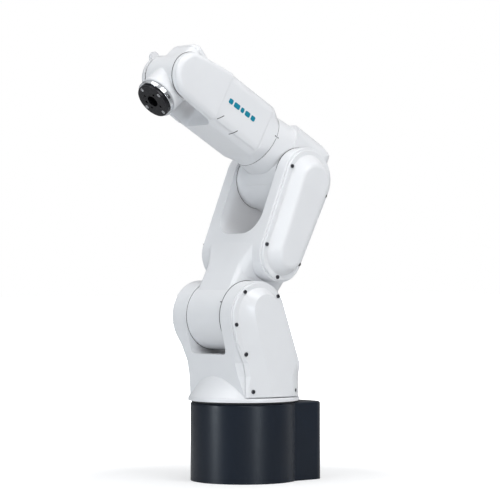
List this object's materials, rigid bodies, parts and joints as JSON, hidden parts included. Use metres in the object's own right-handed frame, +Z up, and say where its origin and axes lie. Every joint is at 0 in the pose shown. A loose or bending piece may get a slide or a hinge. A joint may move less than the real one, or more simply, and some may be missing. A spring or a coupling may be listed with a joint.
{
  "type": "six-axis robot arm",
  "caption": "Compact upright robot arm with a turning base, shoulder, elbow, rolling forearm, bending wrist and a round tool flange.",
  "frame": {"origin": "on the first joint axis at the underside of the base", "axes": "+X forward, the way the arm reaches; +Y to the robot's left; +Z up along the first joint axis"},
  "size_m": [0.3587, 0.192, 0.7129],
  "materials": {
    "white_paint": "satin",
    "white_cover": "satin",
    "dark_paint": "satin",
    "black_anodised": "satin",
    "chrome_ring": "polished",
    "steel": "brushed",
    "dark_steel": "black oxide",
    "black_rubber": "matte",
    "black_plastic": "matte",
    "cast_aluminium": "machined",
    "brass": "turned",
    "teal_print": "printed"
  },
  "bodies": {
    "base": {"base_housing": "dark_paint", "base_rear_panel": "dark_paint", "power_connector": "black_plastic", "signal_connector": "steel", "air_fittings": "brass", "panel_screws": "steel", "base_seal": "black_rubber", "j1_motor": "black_anodised", "j1_gear_unit": "cast_aluminium"},
    "turret": {"turret_casting": "white_paint", "turret_left_cover": "white_cover", "turret_right_cover": "white_cover", "turret_cover_screws": "dark_steel", "j2_gear_unit": "cast_aluminium", "j2_motor": "black_anodised"},
    "lower_arm": {"arm_casting": "white_paint", "arm_left_cover": "white_cover", "arm_right_cover": "white_cover", "arm_cover_screws": "dark_steel", "j3_gear_unit": "cast_aluminium", "j3_motor": "black_anodised"},
    "elbow": {"elbow_housing": "white_paint", "j4_motor": "black_anodised", "j4_gear_unit": "cast_aluminium"},
    "forearm": {"forearm_casting": "white_paint", "forearm_left_cover": "white_cover", "forearm_right_cover": "white_cover", "forearm_badge": "teal_print", "j5_motor": "black_anodised"},
    "wrist": {"wrist_housing": "white_paint", "wrist_rear_cap": "white_cover", "j5_gear_unit": "cast_aluminium", "j6_motor": "black_anodised", "j6_gear_unit": "cast_aluminium"},
    "flange": {"flange_ring": "chrome_ring", "tool_flange": "black_anodised", "flange_screws": "steel"}
  },
  "joints": [
    {"name": "j1_base_turn", "type": "hinge", "parent": "base", "child": "turret", "pos_m": [0, 0, 0], "axis": [0, 0, 1], "range_deg": [-170, 170]},
    {"name": "j2_shoulder", "type": "hinge", "parent": "turret", "child": "lower_arm", "pos_m": [0.03, 0, 0.272], "axis": [0, 1, 0], "range_deg": [-45, 125]},
    {"name": "j3_elbow", "type": "hinge", "parent": "lower_arm", "child": "elbow", "pos_m": [-0.07565, 0, 0.49858], "axis": [0, -1, 0], "range_deg": [-55, 150]},
    {"name": "j4_forearm_roll", "type": "hinge", "parent": "elbow", "child": "forearm", "pos_m": [-0.02834, 0, 0.56482], "axis": [0.8746, 0, 0.4848], "range_deg": [-190, 190]},
    {"name": "j5_wrist_bend", "type": "hinge", "parent": "forearm", "child": "wrist", "pos_m": [0.1409, 0, 0.65863], "axis": [0, 1, 0], "range_deg": [-183, 47]},
    {"name": "j6_tool_roll", "type": "hinge", "parent": "wrist", "child": "flange", "pos_m": [0.1409, 0, 0.65863], "axis": [0.7771, 0, -0.6293], "range_deg": [-360, 360]}
  ]
}
